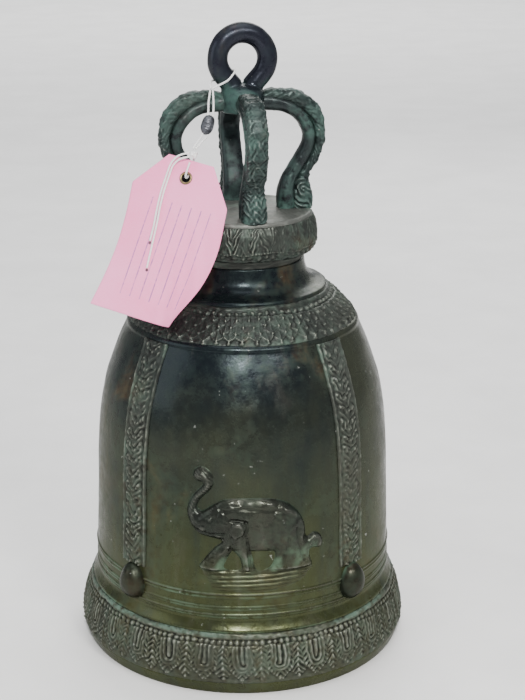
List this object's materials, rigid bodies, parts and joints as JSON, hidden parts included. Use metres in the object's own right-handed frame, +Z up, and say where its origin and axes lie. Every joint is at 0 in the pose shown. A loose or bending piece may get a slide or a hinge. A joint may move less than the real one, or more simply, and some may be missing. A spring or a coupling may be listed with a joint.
{
  "type": "temple bell",
  "caption": "Cast bronze temple bell with lotus lip band, elephant relief, four-armed crown, hanging ring, inner clapper and a paper tag on a string.",
  "frame": {"origin": "centre of the bell's mouth, on the surface that the rim stands on", "axes": "+Z up along the bell's axis, the elephant relief in front faces -Y, +X to the viewer's right"},
  "size_m": [0.2384, 0.2384, 0.441],
  "materials": {
    "bronze_body": "dark olive cast bronze, waxed satin with green and brown patches",
    "bronze_relief": "grey-green cast relief, dark in its recesses",
    "bronze_crown": "rough cast with teal-green patina",
    "bronze_ring": "blue-black, smooth and lightly worn",
    "forged_iron": "forged, dark with light rust",
    "tag_paper": "matt pink card",
    "aged_brass": "tarnished pressed brass",
    "lead": "dark pressed lead, dull shine",
    "cotton": "white two-strand cotton string"
  },
  "bodies": {
    "bell": {"bell_shell": "bronze_body", "striking_boss_1": "bronze_body", "striking_boss_2": "bronze_body", "striking_boss_3": "bronze_body", "striking_boss_4": "bronze_body", "lotus_lip_band": "bronze_relief", "shoulder_band": "bronze_relief", "crown_drum": "bronze_relief", "collar_band": "bronze_relief", "corner_band_1": "bronze_relief", "corner_band_2": "bronze_relief", "corner_band_3": "bronze_relief", "corner_band_4": "bronze_relief", "elephant_relief_front": "bronze_relief", "elephant_relief_back": "bronze_relief", "crown_arm_front": "bronze_crown", "crown_arm_right": "bronze_crown", "crown_arm_back": "bronze_crown", "crown_arm_left": "bronze_crown", "arm_crest_front": "bronze_crown", "arm_crest_right": "bronze_crown", "arm_crest_back": "bronze_crown", "arm_crest_left": "bronze_crown", "suspension_ring": "bronze_ring", "clapper_staple": "forged_iron", "string_wrap": "cotton"},
    "link": {"clapper_link": "forged_iron"},
    "clapper": {"clapper_rod": "forged_iron", "clapper_ball": "forged_iron", "clapper_nut": "forged_iron"},
    "hanging_tag": {"tag": "tag_paper", "tag_eyelet": "aged_brass", "tag_seal": "lead", "string_leg_left": "cotton", "string_leg_right": "cotton", "string_eyelet_loop": "cotton", "string_tail_long": "cotton", "string_tail_short": "cotton", "string_knot": "cotton"}
  },
  "joints": [
    {"name": "link_sway", "type": "hinge", "parent": "bell", "child": "link", "pos_m": [0, 0, 0.243], "axis": [1, 0, 0], "range_deg": [-8, 8]},
    {"name": "clapper_swing", "type": "hinge", "parent": "link", "child": "clapper", "pos_m": [0, 0, 0.2047], "axis": [0, 1, 0], "range_deg": [-26, 26]},
    {"name": "tag_swing", "type": "hinge", "parent": "bell", "child": "hanging_tag", "pos_m": [-0.0205, -0.0142, 0.3985], "axis": [-0.9642, 0.2652, 0], "range_deg": [0, 25]}
  ]
}
